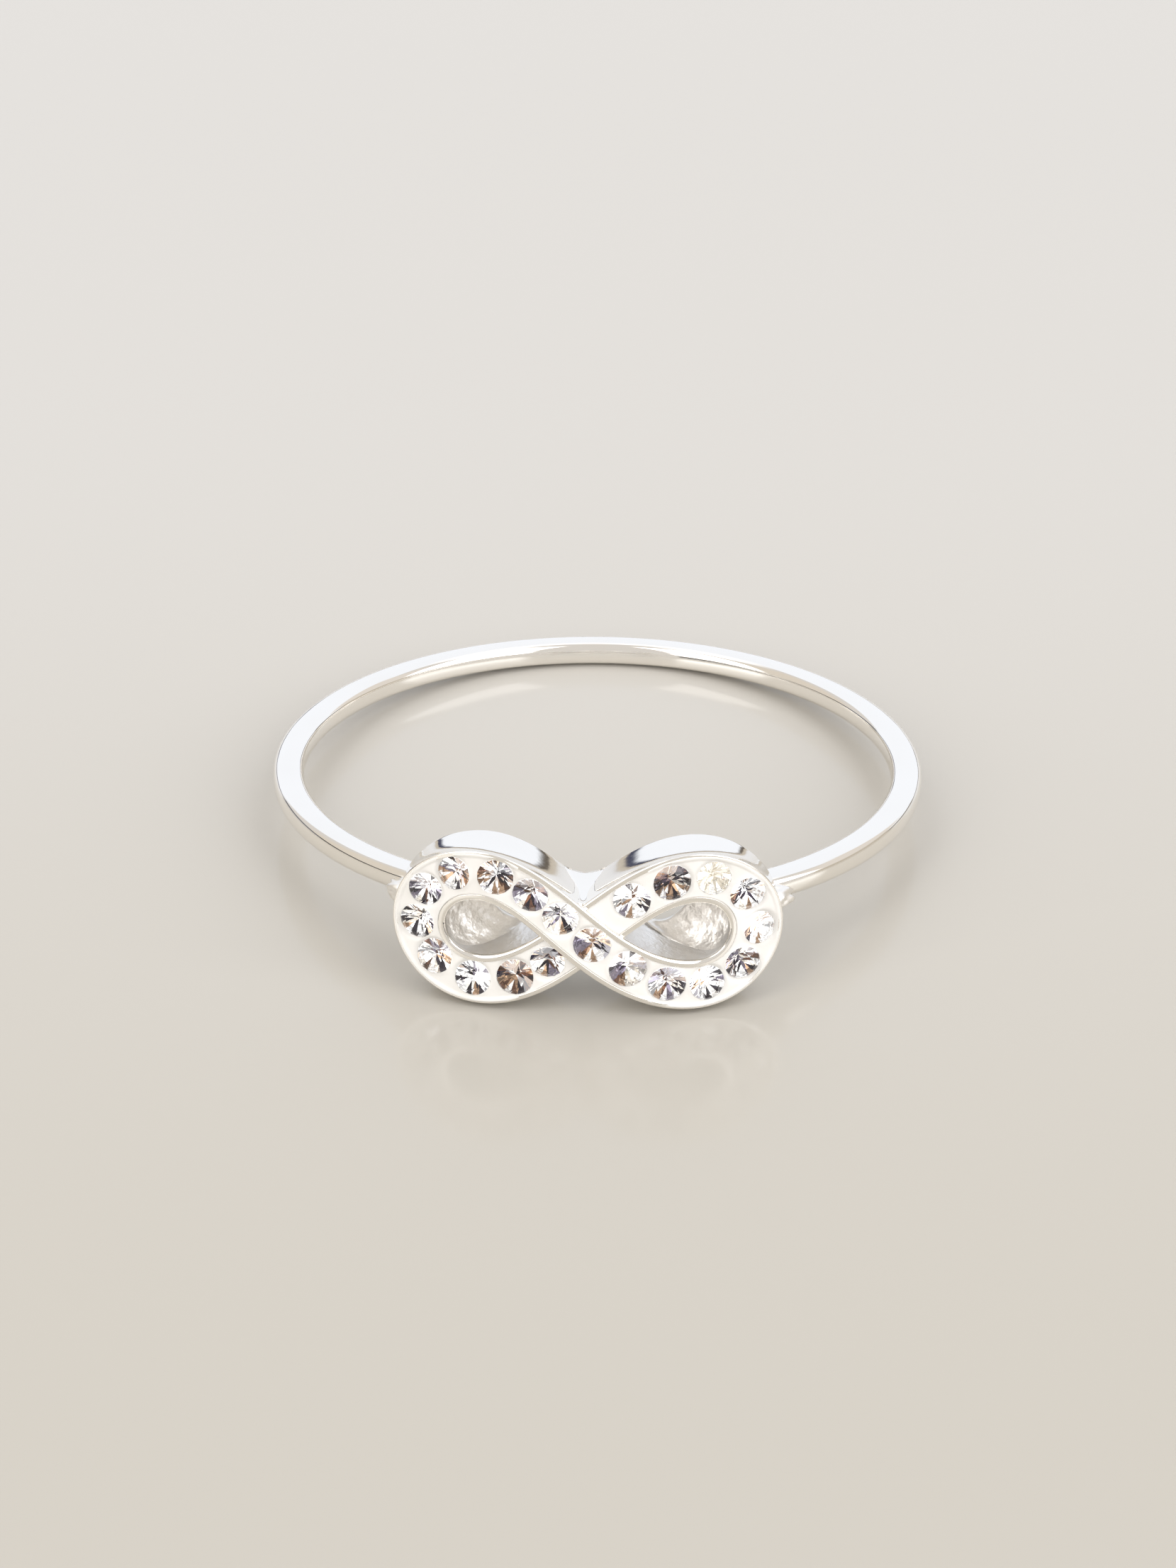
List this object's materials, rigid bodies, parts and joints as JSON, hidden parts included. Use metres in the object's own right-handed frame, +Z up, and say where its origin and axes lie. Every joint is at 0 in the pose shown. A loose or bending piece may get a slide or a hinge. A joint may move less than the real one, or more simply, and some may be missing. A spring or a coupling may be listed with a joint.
{
  "type": "infinity ring",
  "caption": "Slim round finger ring, lying on its side, with an openwork infinity cup across its front that holds a strip of small cut crystals in pale paste",
  "frame": {"origin": "middle of the ring's box in X and Y, on the surface that it rests on", "axes": "+Z up from the surface, +Y to the rear of the band and away from the infinity cup, +X to the right as the cup is seen from the front"},
  "size_m": [0.019, 0.0206, 0.0048],
  "materials": {
    "silver": "polished silver",
    "paste": "matt, cast in place",
    "crystal": "polished facets"
  },
  "bodies": {
    "root": {"silver_ring": "silver", "white_bed": "paste", "stone_01": "crystal", "stone_02": "crystal", "stone_03": "crystal", "stone_04": "crystal", "stone_05": "crystal", "stone_06": "crystal", "stone_07": "crystal", "stone_08": "crystal", "stone_09": "crystal", "stone_10": "crystal", "stone_11": "crystal", "stone_12": "crystal", "stone_13": "crystal", "stone_14": "crystal", "stone_15": "crystal", "stone_16": "crystal", "stone_17": "crystal", "stone_18": "crystal", "stone_19": "crystal", "stone_20": "crystal"}
  },
  "joints": []
}
